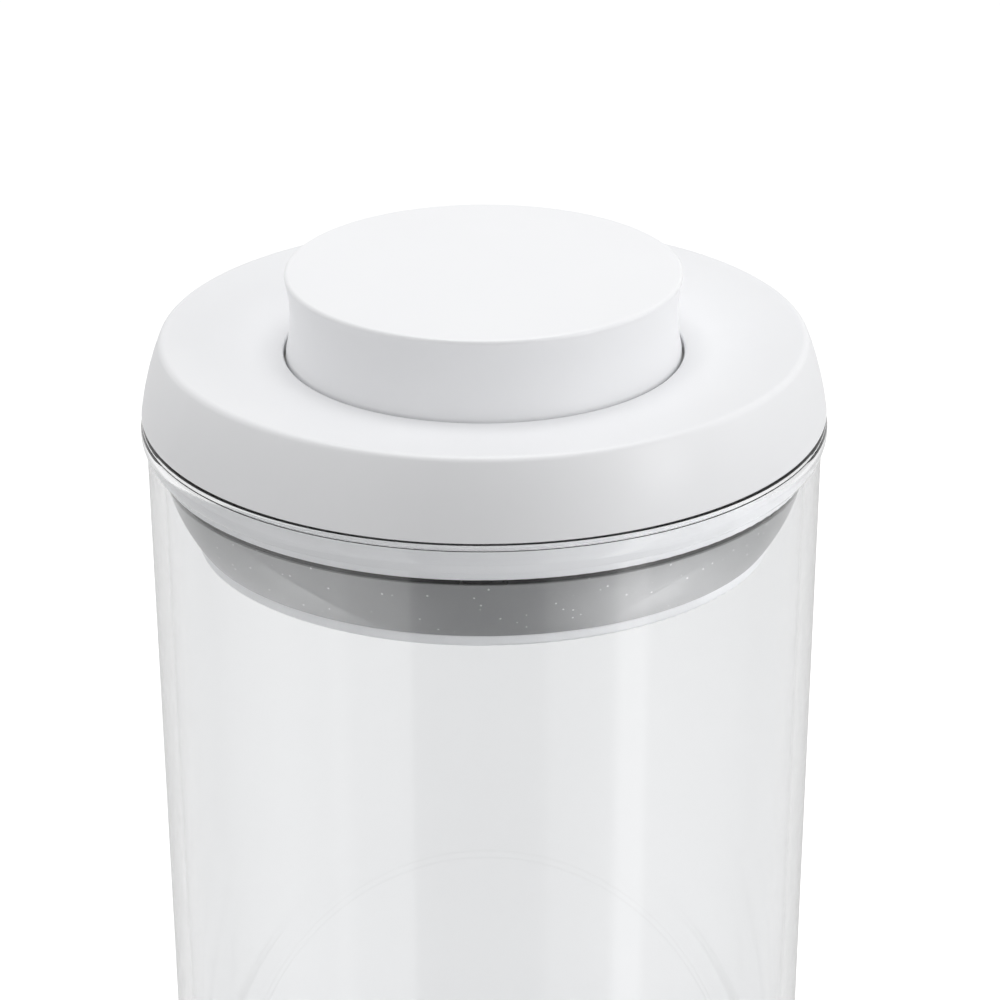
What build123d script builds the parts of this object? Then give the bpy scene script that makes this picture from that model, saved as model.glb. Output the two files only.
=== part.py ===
from build123d import *
import math
import os

os.makedirs("parts", exist_ok=True)

# An airtight canister with a push-button lid. All lengths are millimetres.
# The origin is the centre of the canister's underside and +Z is up.
# A name that ends in _z is a height above that underside.
# The lid is drawn with its button up, which is how it lifts off.

# Clearances that several pieces share
moving_gap = 0.3
fit_gap = 0.15
running_gap = 0.1
overrun = 1.0

# An edge counts as upright when its direction rises at least this much per unit length
upright_least = 0.5

# Canister: its rim is the widest place, and all radii are counted inwards from it
rim_radius = 66.2
rim_bulge = 1.0
rim_height = 5.6
rim_belly_drop = 2.7
rim_land_inset = 0.6
canister_height = 199.5
wall = 3.0
wall_draft = 0.5
mouth_round = 1.0
floor_thickness = 4.0
foot_recess = 1.2
foot_width = 7.0
foot_round = 0.5
base_round = 5.0
floor_round = 7.0

# Lid cover: the white shell, a convex flank up to a crest and a shallow dish with a hole
rim_slit = 0.5
cover_inset = 0.2
cover_crest_rise = 15.1
flank_lean = 4.1
flank_bow = 0.5
dish_drop = 3.35
dish_sag = 0.3
cover_thickness = 1.9
cover_skirt = 1.9
crest_inset = 1.6
shoulder_width = 1.6
crest_round = 1.4
hole_lip = 0.85
hole_round = 0.5
edge_round = 0.3
stop_ring_inset = 1.5
stop_ring_wall = 2.0

# Lid base: flange on the rim, neck in the mouth, web above the shoes, snap ring for the cover
mouth_gap = 0.6
neck_wall = 2.8
flange_rise = 2.0
web_thickness = 2.4
web_setback = 0.8
snap_ring_inset = 5.3
snap_ring_wall = 1.8
snap_headroom = 2.6
snap_bead = 0.6
snap_rib_wall = 1.6

# Gasket: a sleeve that leans inwards down to its foot, where a flange lies on the plate
gasket_slit = 0.9
gasket_height = 12.7
gasket_taper = 5.4
gasket_bow = 0.7
gasket_wall = 2.0
gasket_flange = 1.5
gasket_lip = 0.8
gasket_bevel = 2.0
gasket_round = 0.35

# Bottom plate
plate_inset = 0.2
plate_thickness = 2.2
plate_edge_round = 0.6
well_inset = 2.4
well_depth = 2.5
post_wall = 2.7

# Button and its travel
button_stroke = 13.15
button_proud = 2.6
button_gap = 0.5
button_waist_inset = 0.85
button_waist_drop = 6.5
button_top_flare = 1.05
button_wall = 2.0
button_top = 2.4
button_round = 0.7
button_boss_inset = 8.0
button_boss_wall = 1.6
button_bosses = 3
button_boss_turn = 30.0
button_rib_height = 4.0
button_rib_thickness = 1.4
button_ribs = 6

# Wedge ring: disc, spring housing, guide stem and one finger for each shoe
disc_setback = 0.5
disc_thickness = 1.7
housing_gap = 1.5
housing_wall = 1.8
housing_height = 6.4
stem_radius = 4.4
disc_ribs = 6
disc_rib_height = 3.0
disc_rib_thickness = 1.6
finger_width = 8.0
finger_inset = 4.9
finger_depth = 3.6
finger_clearance = 1.5

# Expander shoes and their guide ring
shoe_count = 6
shoe_travel = 0.7
shoe_contact = 2.5
shoe_leg = 3.0
shoe_pad_wall = 5.2
shoe_pad_gap = 0.2
shoe_pad_height = 7.4
shoe_pad_angle = 51.0
shoe_stem_height = 4.0
guide_floor = 2.0
guide_ring_width = 9.2

# Return spring and its washer
spring_wire = 1.4
spring_side_gap = 1.1
spring_turns = 8
spring_closed_gap = 0.5
washer_thickness = 0.8
washer_width = 4.4

# Push-push latch: a heart-shaped track and a swinging wire
latch_wire_diameter = 1.5
latch_lean = 10.0
latch_swing = 20.0
latch_set_back = 1.0
latch_bend = 1.2
latch_reach = 1.2
track_depth = 1.6
track_margin = 0.35
island_notch = 0.9
island_round = 0.25
cam_clearance = 1.0
cam_thickness = 3.5
cam_border = 2.2
cam_foot = 1.0
cam_shoulder = 1.0
cam_head = 1.5
bracket_width = 7.0
bracket_depth = 4.0
bracket_peg_radius = 1.0
bracket_peg_depth = 0.9
bracket_round = 1.2

# Screws
screw_radius = 1.5
screw_head_overhang = 1.1
screw_head_height = 1.6
screw_boss_wall = 1.0
screw_inset = 2.9
screw_floor = 1.0
button_screw_length = 11.0

# Radii, from the rim inwards
wall_top_radius = rim_radius - rim_bulge
rim_land_radius = rim_radius - rim_land_inset
cover_radius = rim_radius - cover_inset
cover_crest_radius = cover_radius - flank_lean
plug_radius = wall_top_radius - wall - mouth_gap
gasket_foot_radius = plug_radius - gasket_taper
plate_radius = gasket_foot_radius - plate_inset
snap_ring_radius = plug_radius - snap_ring_inset
gasket_inner_radius = gasket_foot_radius - gasket_wall
pad_outer_radius = gasket_inner_radius - shoe_pad_gap
pad_inner_radius = pad_outer_radius - shoe_pad_wall
guide_ring_radius = pad_inner_radius - moving_gap * 2
guide_inner_radius = guide_ring_radius - guide_ring_width
web_inner_radius = guide_inner_radius + web_setback
well_radius = guide_ring_radius - well_inset
screw_circle_radius = guide_ring_radius - screw_inset
finger_root_radius = guide_ring_radius - finger_inset
disc_radius = finger_root_radius - disc_setback
stop_ring_radius = disc_radius - stop_ring_inset
cover_hole_radius = stop_ring_radius - stop_ring_wall - hole_lip
button_foot_radius = cover_hole_radius - button_gap
button_waist_radius = button_foot_radius - button_waist_inset
button_radius = button_waist_radius + button_top_flare
boss_circle_radius = button_waist_radius - button_boss_inset

# Radii, from the axis outwards
post_radius = stem_radius + running_gap + post_wall
spring_radius = post_radius + spring_side_gap + spring_wire / 2
housing_radius = spring_radius + spring_wire / 2 + housing_gap + housing_wall
cam_y = housing_radius + cam_clearance + cam_thickness
screw_head_radius = screw_radius + screw_head_overhang
screw_boss_radius = screw_radius + running_gap + screw_boss_wall
button_boss_radius = screw_radius + running_gap + button_boss_wall


def wall_radius(z):
    """Outer radius of the drafted wall at a height."""
    return wall_top_radius - (canister_height - z) * math.tan(math.radians(wall_draft))


def bowed(start, end, bow):
    """Arc from start to end whose middle stands bow to the right of the straight line."""
    across, up = end[0] - start[0], end[1] - start[1]
    length = math.hypot(across, up)
    middle_x = (start[0] + end[0]) / 2 + bow * up / length
    middle_y = (start[1] + end[1]) / 2 - bow * across / length
    return ThreePointArc(start, (middle_x, middle_y), end)


def corner(sketch, x, y):
    """The corner of a sketch that lies nearest to a place."""
    return sketch.vertices().sort_by_distance((x, y))[0]


def spoke_plane(angle):
    """Upright plane through the axis: its x runs outwards and its y runs up."""
    turn = math.radians(angle)
    return Plane(
        origin=(0, 0, 0),
        x_dir=(math.cos(turn), math.sin(turn), 0),
        z_dir=(math.sin(turn), -math.cos(turn), 0),
    )


def finish(builder, name):
    """Label a finished piece, write it and print its volume."""
    builder.part.label = name
    export_step(builder.part, f"parts/{name}.step")
    print(f"{name}: {builder.part.volume:.0f} mm3")


# Levels of the canister
floor_z = foot_recess + floor_thickness
base_radius = wall_radius(0)
foot_inner_radius = base_radius - base_round - foot_width
rim_low_z = canister_height - rim_height
rim_belly_z = canister_height - rim_belly_drop

# Levels of the cover, the wedge ring's disc and the button with the button up
lid_z = canister_height + rim_slit
crest_z = lid_z + cover_crest_rise
hole_z = crest_z - dish_drop
flange_top_z = lid_z + flange_rise
button_top_z = hole_z + button_proud + button_stroke
stop_z = hole_z - cover_thickness - moving_gap * 2
disc_top_z = stop_z - moving_gap
disc_bottom_z = disc_top_z - disc_thickness
housing_top_z = disc_top_z + housing_height
spring_roof_z = housing_top_z - housing_wall

# Levels of the lid base, the gasket and the bottom plate, which leave the button its travel
web_top_z = disc_bottom_z - button_stroke - moving_gap
neck_bottom_z = web_top_z - web_thickness
gasket_top_z = neck_bottom_z - gasket_slit
ledge_z = gasket_top_z - gasket_height
plate_bottom_z = ledge_z - plate_thickness
well_floor_z = ledge_z - well_depth
well_bottom_z = well_floor_z - plate_thickness
stem_bottom_z = well_floor_z + button_stroke + moving_gap * 2
post_top_z = spring_roof_z - button_stroke - moving_gap * 2

# The fingers slope by the shoe's travel over the button's stroke, so both move in step
wedge_slope = shoe_travel / button_stroke
finger_tip_z = well_floor_z + button_stroke + finger_clearance
finger_top_radius = finger_root_radius + wedge_slope * (disc_top_z - finger_tip_z)
leg_top_z = finger_tip_z + shoe_contact
leg_radius = finger_root_radius + running_gap
leg_back_radius = leg_radius + shoe_leg
channel_floor_z = ledge_z + guide_floor
shoe_bottom_z = channel_floor_z + moving_gap
pad_top_z = shoe_bottom_z + shoe_pad_height
shoe_angles = [360 / shoe_count * k for k in range(shoe_count)]
channel_width = finger_width + moving_gap * 2
screw_turn = 360 / shoe_count / 2

# The gasket's inner face leans outwards, and the shoes' pads lean with it
flange_top_level_z = ledge_z + gasket_flange
gasket_bevel_z = gasket_top_z - gasket_bevel
gasket_slope = gasket_taper / (gasket_bevel_z - flange_top_level_z)
pad_low_radius = pad_outer_radius + gasket_slope * (shoe_bottom_z - flange_top_level_z)
pad_high_radius = pad_outer_radius + gasket_slope * (pad_top_z - flange_top_level_z)

# The latch: the wire's tip stands at the foot of the track, leaning to one side
wire_radius = latch_wire_diameter / 2
tip_half = wire_radius + track_margin
pivot_z = well_floor_z + bracket_width / 2 - wire_radius
cam_low_z = well_floor_z + button_stroke + moving_gap * 2
tip_z = cam_low_z + cam_foot + tip_half
latch_arm = (tip_z - pivot_z) / math.cos(math.radians(latch_lean))
tip_left = -latch_arm * math.sin(math.radians(latch_lean))
tip_right = latch_arm * math.sin(math.radians(latch_swing - latch_lean))
wire_y = cam_y + moving_gap + wire_radius
bracket_y = wire_y + wire_radius + moving_gap
bracket_middle_y = bracket_y + bracket_depth / 2


# Canister: drafted wall, rolled rim, rounded floor corner and a foot ring
with BuildPart() as canister:
    with BuildSketch(Plane.XZ) as canister_outline:
        with BuildLine():
            FilletPolyline(
                (0, foot_recess),
                (foot_inner_radius, foot_recess),
                (foot_inner_radius + foot_recess, 0),
                (base_radius, 0),
                (wall_radius(rim_low_z), rim_low_z),
                radius=[foot_round, foot_round, base_round],
            )
            ThreePointArc(
                (wall_radius(rim_low_z), rim_low_z),
                (rim_radius, rim_belly_z),
                (rim_land_radius, canister_height),
            )
            FilletPolyline(
                (rim_land_radius, canister_height),
                (wall_radius(canister_height) - wall, canister_height),
                (wall_radius(floor_z) - wall, floor_z),
                (0, floor_z),
                radius=[mouth_round, floor_round],
            )
            Line((0, floor_z), (0, foot_recess))
        make_face()
        fillet(corner(canister_outline, wall_radius(rim_low_z), rim_low_z), foot_round)
    revolve(axis=Axis.Z)
finish(canister, "canister")


# Lid cover, with the ring that stops the button and the rib that snaps over the base
underside_hole_z = hole_z - cover_thickness
inner_crest_radius = cover_crest_radius - crest_inset
inner_crest_z = crest_z - cover_thickness
skirt_inner_radius = cover_radius - cover_skirt
shoulder_radius = skirt_inner_radius - shoulder_width
underside_slope = (inner_crest_z - underside_hole_z) / (inner_crest_radius - cover_hole_radius)
bead_radius = snap_ring_radius + snap_bead
rib_radius = bead_radius + fit_gap
rib_bead_radius = snap_ring_radius + fit_gap


def underside_z(radius):
    """Height of the dish's underside at a radius."""
    return underside_hole_z + underside_slope * (radius - cover_hole_radius)


snap_top_z = underside_z(snap_ring_radius) - snap_headroom
bead_high_z = snap_top_z - snap_bead
bead_low_z = bead_high_z - snap_bead * 3
rib_bead_high_z = bead_low_z - fit_gap * 2
rib_bead_low_z = rib_bead_high_z - snap_bead * 3

with BuildPart() as lid_cover:
    with BuildSketch(Plane.XZ) as cover_outline:
        with BuildLine():
            bowed((cover_radius, lid_z), (cover_crest_radius, crest_z), flank_bow)
            bowed((cover_crest_radius, crest_z), (cover_hole_radius, hole_z), -dish_sag)
            Polyline(
                (cover_hole_radius, hole_z),
                (cover_hole_radius, underside_hole_z),
                (inner_crest_radius, inner_crest_z),
                (shoulder_radius, flange_top_z),
                (skirt_inner_radius, flange_top_z),
                (skirt_inner_radius, lid_z),
                (cover_radius, lid_z),
            )
        make_face()
        fillet(corner(cover_outline, cover_crest_radius, crest_z), crest_round)
        fillet(corner(cover_outline, cover_hole_radius, hole_z), hole_round)
        fillet(corner(cover_outline, inner_crest_radius, inner_crest_z), crest_round)
        fillet(corner(cover_outline, cover_radius, lid_z), edge_round)
    revolve(axis=Axis.Z)
    with BuildSketch(Plane.XZ):
        with BuildLine():
            stop_inner = stop_ring_radius - stop_ring_wall
            Polyline(
                (stop_inner, stop_z),
                (stop_ring_radius, stop_z),
                (stop_ring_radius, underside_z(stop_ring_radius) + overrun),
                (stop_inner, underside_z(stop_inner) + overrun),
                close=True,
            )
        make_face()
    revolve(axis=Axis.Z)
    with BuildSketch(Plane.XZ):
        with BuildLine():
            rib_outer = rib_radius + snap_rib_wall
            Polyline(
                (rib_radius, flange_top_z + moving_gap),
                (rib_outer, flange_top_z + moving_gap),
                (rib_outer, underside_z(rib_outer) + overrun),
                (rib_radius, underside_z(rib_radius) + overrun),
                (rib_radius, rib_bead_high_z),
                (rib_bead_radius, rib_bead_high_z - snap_bead),
                (rib_bead_radius, rib_bead_low_z + snap_bead),
                (rib_radius, rib_bead_low_z),
                close=True,
            )
        make_face()
    revolve(axis=Axis.Z)
finish(lid_cover, "lid_cover")


# Lid base: one turned outline, then the notches for the shoes and fingers and the screw holes
flange_radius = skirt_inner_radius - fit_gap
neck_inner_radius = plug_radius - neck_wall
snap_inner_radius = snap_ring_radius - snap_ring_wall
notch_radius = leg_back_radius + shoe_travel + moving_gap
notch_length = notch_radius - web_inner_radius + overrun

with BuildPart() as lid_base:
    with BuildSketch(Plane.XZ) as base_outline:
        with BuildLine():
            Polyline(
                (plug_radius, neck_bottom_z),
                (plug_radius, canister_height),
                (flange_radius, canister_height),
                (flange_radius, flange_top_z),
                (snap_ring_radius, flange_top_z),
                (snap_ring_radius, bead_low_z),
                (bead_radius, bead_low_z + snap_bead),
                (bead_radius, bead_high_z - snap_bead),
                (snap_ring_radius, bead_high_z),
                (snap_ring_radius, snap_top_z),
                (snap_inner_radius, snap_top_z),
                (snap_inner_radius, canister_height),
                (neck_inner_radius, canister_height),
                (neck_inner_radius, web_top_z),
                (web_inner_radius, web_top_z),
                (web_inner_radius, neck_bottom_z),
                close=True,
            )
        make_face()
        fillet(corner(base_outline, plug_radius, neck_bottom_z), edge_round)
    revolve(axis=Axis.Z)
    with BuildSketch(Plane.XY.offset(web_top_z + overrun)):
        with PolarLocations(notch_radius - notch_length / 2, shoe_count):
            Rectangle(notch_length, channel_width)
    extrude(amount=neck_bottom_z - web_top_z - overrun * 2, mode=Mode.SUBTRACT)
    with BuildSketch(Plane.XY.offset(neck_bottom_z)):
        with PolarLocations(screw_circle_radius, shoe_count, start_angle=screw_turn):
            Circle(screw_radius + fit_gap)
    extrude(amount=web_top_z - neck_bottom_z, mode=Mode.SUBTRACT)
    with BuildSketch(Plane.XY.offset(web_top_z)):
        with PolarLocations(screw_circle_radius, shoe_count, start_angle=screw_turn):
            Circle(screw_head_radius + fit_gap)
    extrude(amount=-(screw_head_height + fit_gap), mode=Mode.SUBTRACT)
finish(lid_base, "lid_base")


# Gasket: the bowed sleeve's top is bevelled inwards to a lip, its foot flange lies on the plate
flange_inner_radius = guide_ring_radius + moving_gap

with BuildPart() as gasket:
    with BuildSketch(Plane.XZ) as gasket_outline:
        with BuildLine():
            bowed((gasket_foot_radius, ledge_z), (plug_radius, gasket_top_z), gasket_bow)
            Polyline(
                (plug_radius, gasket_top_z),
                (plug_radius - gasket_lip, gasket_top_z),
                (plug_radius - gasket_wall, gasket_bevel_z),
                (gasket_inner_radius, flange_top_level_z),
                (flange_inner_radius, flange_top_level_z),
                (flange_inner_radius, ledge_z),
                (gasket_foot_radius, ledge_z),
            )
        make_face()
        fillet(corner(gasket_outline, plug_radius, gasket_top_z), gasket_round)
        fillet(corner(gasket_outline, gasket_foot_radius, ledge_z), gasket_round)
        fillet(corner(gasket_outline, gasket_inner_radius, flange_top_level_z), gasket_round)
    revolve(axis=Axis.Z)
finish(gasket, "gasket")


# Bottom plate: rim ledge, sunk well, central post, screw bosses and the bracket's peg holes
well_outer_radius = well_radius + plate_thickness
peg_spread = bracket_width / 2 - bracket_peg_radius - fit_gap

with BuildPart() as bottom_plate:
    with BuildSketch(Plane.XZ) as plate_outline:
        with BuildLine():
            Polyline(
                (0, well_bottom_z),
                (well_outer_radius, well_bottom_z),
                (well_outer_radius, plate_bottom_z),
                (plate_radius, plate_bottom_z),
                (plate_radius, ledge_z),
                (well_radius, ledge_z),
                (well_radius, well_floor_z),
                (post_radius, well_floor_z),
                (post_radius, post_top_z),
                (stem_radius + running_gap, post_top_z),
                (stem_radius + running_gap, well_floor_z),
                (0, well_floor_z),
                close=True,
            )
        make_face()
        fillet(corner(plate_outline, plate_radius, plate_bottom_z), plate_edge_round)
        fillet(corner(plate_outline, plate_radius, ledge_z), edge_round)
        fillet(corner(plate_outline, well_outer_radius, well_bottom_z), plate_edge_round)
        fillet(corner(plate_outline, post_radius, post_top_z), edge_round)
    revolve(axis=Axis.Z)
    with BuildSketch(Plane.XY.offset(well_floor_z)):
        with PolarLocations(screw_circle_radius, shoe_count, start_angle=screw_turn):
            Circle(screw_boss_radius)
    extrude(amount=ledge_z - well_floor_z)
    with BuildSketch(Plane.XY.offset(ledge_z)):
        with PolarLocations(screw_circle_radius, shoe_count, start_angle=screw_turn):
            Circle(screw_radius + running_gap)
    extrude(amount=well_bottom_z + screw_floor - ledge_z, mode=Mode.SUBTRACT)
    with BuildSketch(Plane.XY.offset(well_floor_z)):
        with Locations((-peg_spread, bracket_middle_y), (peg_spread, bracket_middle_y)):
            Circle(bracket_peg_radius + fit_gap)
    extrude(amount=-(bracket_peg_depth + fit_gap), mode=Mode.SUBTRACT)
finish(bottom_plate, "bottom_plate")


# Guide ring: blocks between the shoes, joined by a floor, open under the fingers
finger_floor_radius = finger_top_radius + moving_gap
block_length = guide_ring_radius - guide_inner_radius
opening_length = finger_floor_radius - guide_inner_radius + overrun

with BuildPart() as guide_ring:
    with BuildSketch(Plane.XY.offset(ledge_z)):
        Circle(guide_ring_radius)
        Circle(guide_inner_radius, mode=Mode.SUBTRACT)
    extrude(amount=neck_bottom_z - ledge_z)
    with BuildSketch(Plane.XY.offset(channel_floor_z)):
        with PolarLocations(guide_inner_radius + block_length / 2, shoe_count):
            Rectangle(block_length + overrun * 2, channel_width)
    extrude(amount=neck_bottom_z - channel_floor_z + overrun, mode=Mode.SUBTRACT)
    with BuildSketch(Plane.XY.offset(ledge_z - overrun)):
        with PolarLocations(finger_floor_radius - opening_length / 2, shoe_count):
            Rectangle(opening_length, channel_width)
    extrude(amount=guide_floor + overrun * 2, mode=Mode.SUBTRACT)
    with BuildSketch(Plane.XY.offset(ledge_z)):
        with PolarLocations(screw_circle_radius, shoe_count, start_angle=screw_turn):
            Circle(screw_radius + fit_gap)
    extrude(amount=neck_bottom_z - ledge_z, mode=Mode.SUBTRACT)
finish(guide_ring, "guide_ring")


# Expander shoes: a curved pad behind the gasket, a stem in its channel and a leg up to a finger
for number, angle in enumerate(shoe_angles, start=1):
    with BuildPart() as shoe:
        with BuildSketch(spoke_plane(angle - shoe_pad_angle / 2)):
            with BuildLine():
                Polyline(
                    (pad_inner_radius, shoe_bottom_z),
                    (pad_low_radius, shoe_bottom_z),
                    (pad_high_radius, pad_top_z),
                    (pad_inner_radius, pad_top_z),
                    close=True,
                )
            make_face()
        revolve(axis=Axis.Z, revolution_arc=shoe_pad_angle)
        straight = shoe.edges().filter_by(GeomType.LINE)
        fillet([edge for edge in straight if abs((edge % 0).Z) > upright_least], edge_round)
        with BuildSketch(spoke_plane(angle)):
            with BuildLine():
                Polyline(
                    (leg_radius, shoe_bottom_z),
                    (pad_inner_radius + overrun, shoe_bottom_z),
                    (pad_inner_radius + overrun, shoe_bottom_z + shoe_stem_height),
                    (leg_back_radius, shoe_bottom_z + shoe_stem_height),
                    (leg_back_radius, leg_top_z),
                    (leg_radius + wedge_slope * shoe_contact, leg_top_z),
                    (leg_radius, finger_tip_z),
                    close=True,
                )
            make_face()
        extrude(amount=finger_width / 2, both=True)
    finish(shoe, f"expander_shoe_{number}")


# Button: a shell with a flat top, a drawn-in waist, screw bosses and ribs under the top
button_under_z = button_top_z - button_top
button_waist_z = button_top_z - button_waist_drop
button_foot_inner = button_foot_radius - button_wall
rib_reach = button_waist_radius - button_wall
rib_start = button_boss_radius * 2
rib_end = button_radius - button_wall

with BuildPart() as button:
    with BuildSketch(Plane.XZ) as button_outline:
        with BuildLine():
            Line((button_foot_radius, disc_top_z), (button_foot_radius, hole_z))
            ThreePointArc(
                (button_foot_radius, hole_z),
                (button_waist_radius, button_waist_z),
                (button_radius, button_top_z),
            )
            Polyline((button_radius, button_top_z), (0, button_top_z), (0, button_under_z))
            Line((0, button_under_z), (button_radius - button_wall, button_under_z))
            ThreePointArc(
                (button_radius - button_wall, button_under_z),
                (rib_reach, button_waist_z),
                (button_foot_inner, hole_z),
            )
            Polyline(
                (button_foot_inner, hole_z),
                (button_foot_inner, disc_top_z),
                (button_foot_radius, disc_top_z),
            )
        make_face()
        fillet(corner(button_outline, button_radius, button_top_z), button_round)
    revolve(axis=Axis.Z)
    with BuildSketch(Plane.XY.offset(disc_top_z)):
        with PolarLocations(boss_circle_radius, button_bosses, start_angle=button_boss_turn):
            Circle(button_boss_radius)
    extrude(amount=button_under_z - disc_top_z)
    with BuildSketch(Plane.XY.offset(disc_top_z)):
        with PolarLocations(boss_circle_radius, button_bosses, start_angle=button_boss_turn):
            Circle(screw_radius + running_gap)
    extrude(amount=button_screw_length, mode=Mode.SUBTRACT)
    with BuildSketch(Plane.XY.offset(button_under_z)):
        with PolarLocations((rib_start + rib_end) / 2, button_ribs):
            Rectangle(rib_end - rib_start, button_rib_thickness)
    extrude(amount=-button_rib_height)
finish(button, "button")


# Heart-shaped track: two straight legs joined at both ends round an island with a notch
track_left = tip_left - tip_half
track_right = tip_right + tip_half
track_low_z = tip_z - tip_half
track_high_z = tip_z + button_stroke + tip_half
island_left = tip_left + tip_half
island_right = tip_right - tip_half
island_middle = (island_left + island_right) / 2
island_half = island_right - island_middle
notch_seat = wire_radius / math.sin(math.atan2(island_half, island_notch))
notch_z = tip_z + button_stroke - latch_set_back - notch_seat
island_high_z = notch_z + island_notch
island_low_z = tip_z + tip_half * 2
cam_left = track_left - cam_border
cam_right = track_right + cam_border
cam_width = cam_right - cam_left
cam_middle = (cam_left + cam_right) / 2
cam_high_z = disc_top_z + cam_head
cam_face = Plane.XZ.offset(-cam_y)

with BuildPart() as heart_cam:
    with BuildSketch(cam_face):
        with Locations((cam_middle, (cam_low_z + cam_high_z) / 2)):
            Rectangle(cam_width, cam_high_z - cam_low_z)
        with Locations((cam_middle, (disc_top_z + cam_high_z) / 2)):
            Rectangle(cam_width + cam_shoulder * 2, cam_head)
    extrude(amount=cam_thickness)
    with BuildSketch(cam_face) as track:
        with Locations(((track_left + track_right) / 2, (track_low_z + track_high_z) / 2)):
            RectangleRounded(track_right - track_left, track_high_z - track_low_z, tip_half - running_gap)
        with BuildSketch(mode=Mode.PRIVATE) as island:
            with BuildLine():
                Polyline(
                    (island_middle, island_low_z),
                    (island_right, island_low_z + island_half),
                    (island_right, island_high_z),
                    (island_middle, notch_z),
                    (island_left, island_high_z),
                    (island_left, island_low_z + island_half),
                    close=True,
                )
            make_face()
            fillet(island.vertices(), island_round)
        add(island.sketch, mode=Mode.SUBTRACT)
    extrude(amount=track_depth, mode=Mode.SUBTRACT)
finish(heart_cam, "heart_cam")


# Wedge ring: turned disc with the spring housing and guide stem, then fingers, ribs and openings
wire_slot_y = wire_y + wire_radius + moving_gap
wire_slot_width = track_right - track_left + moving_gap * 2

with BuildPart() as wedge_ring:
    with BuildSketch(Plane.XZ) as wedge_outline:
        with BuildLine():
            Polyline(
                (0, stem_bottom_z),
                (stem_radius, stem_bottom_z),
                (stem_radius, spring_roof_z),
                (housing_radius - housing_wall, spring_roof_z),
                (housing_radius - housing_wall, disc_bottom_z),
                (disc_radius, disc_bottom_z),
                (disc_radius, disc_top_z),
                (housing_radius, disc_top_z),
                (housing_radius, housing_top_z),
                (0, housing_top_z),
                close=True,
            )
        make_face()
        fillet(corner(wedge_outline, housing_radius, housing_top_z), housing_wall / 2)
        chamfer(corner(wedge_outline, stem_radius, stem_bottom_z), edge_round)
    revolve(axis=Axis.Z)
    with BuildSketch(*[spoke_plane(angle) for angle in shoe_angles]):
        with BuildLine():
            Polyline(
                (finger_root_radius - finger_depth, finger_tip_z),
                (finger_root_radius, finger_tip_z),
                (finger_top_radius, disc_top_z),
                (finger_root_radius - finger_depth, disc_top_z),
                close=True,
            )
        make_face()
    extrude(amount=finger_width / 2, both=True)
    with BuildSketch(Plane.XY.offset(disc_top_z)):
        with PolarLocations((housing_radius + rib_reach) / 2, disc_ribs):
            Rectangle(rib_reach - housing_radius - moving_gap, disc_rib_thickness)
    extrude(amount=disc_rib_height)
    with BuildSketch(Plane.XY.offset(disc_bottom_z)):
        with Locations((cam_middle, cam_y - cam_thickness / 2)):
            Rectangle(cam_width + fit_gap * 2, cam_thickness + fit_gap * 2)
        with Locations((cam_middle, (cam_y + wire_slot_y) / 2)):
            Rectangle(wire_slot_width, wire_slot_y - cam_y + fit_gap * 2)
        with PolarLocations(boss_circle_radius, button_bosses, start_angle=button_boss_turn):
            Circle(screw_radius + fit_gap)
    extrude(amount=disc_thickness, mode=Mode.SUBTRACT)
finish(wedge_ring, "wedge_ring")


# Latch wire: pivot end in the bracket, leaning arm, tip in the track
with BuildPart() as latch_wire:
    with BuildLine() as wire_path:
        FilletPolyline(
            (0, bracket_y + bracket_depth, pivot_z),
            (0, wire_y, pivot_z),
            (tip_left, wire_y, tip_z),
            (tip_left, cam_y - latch_reach, tip_z),
            radius=latch_bend,
        )
    with BuildSketch(Plane(origin=wire_path.line @ 0, z_dir=wire_path.line % 0)):
        Circle(wire_radius)
    sweep(path=wire_path.line)
finish(latch_wire, "latch_wire")


# Latch bracket: a small block with the pivot hole, pegged into the plate
bracket_top_z = pivot_z + bracket_width / 2 - moving_gap * 2

with BuildPart() as latch_bracket:
    with BuildSketch(Plane.XZ.offset(-bracket_y)) as bracket_outline:
        with Locations((0, (well_floor_z + bracket_top_z) / 2)):
            Rectangle(bracket_width, bracket_top_z - well_floor_z)
        fillet(corner(bracket_outline, bracket_width / 2, bracket_top_z), bracket_round)
        fillet(corner(bracket_outline, -bracket_width / 2, bracket_top_z), bracket_round)
        with Locations((0, pivot_z)):
            Circle(wire_radius + running_gap, mode=Mode.SUBTRACT)
    extrude(amount=-bracket_depth)
    with BuildSketch(Plane.XY.offset(well_floor_z)):
        with Locations((-peg_spread, bracket_middle_y), (peg_spread, bracket_middle_y)):
            Circle(bracket_peg_radius)
    extrude(amount=-bracket_peg_depth)
finish(latch_bracket, "latch_bracket")


# Spring washer around the post
washer_inner_radius = post_radius + fit_gap
washer_top_z = well_floor_z + washer_thickness

with BuildPart() as spring_washer:
    with BuildSketch(Plane.XY.offset(well_floor_z)):
        Circle(washer_inner_radius + washer_width)
        Circle(washer_inner_radius, mode=Mode.SUBTRACT)
    extrude(amount=washer_thickness)
finish(spring_washer, "spring_washer")


# Return spring: one tube on arcs of a quarter turn, with closed coils at both ends
wire_half = spring_wire / 2
spring_low_z = washer_top_z + moving_gap + wire_half
spring_high_z = spring_roof_z - moving_gap - wire_half
closed_pitch = spring_wire + spring_closed_gap
open_pitch = closed_pitch + (spring_high_z - spring_low_z - spring_turns * closed_pitch) / (spring_turns - 2)


def opened(turn):
    """Turns' worth of open pitch passed, with a ramp of one turn about turn one and its mirror."""
    if turn > spring_turns / 2:
        return spring_turns - 2 - opened(spring_turns - turn)
    ramp = min(max(turn - 0.5, 0), 1)
    return ramp * ramp / 2 + max(turn - 1.5, 0)


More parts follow.
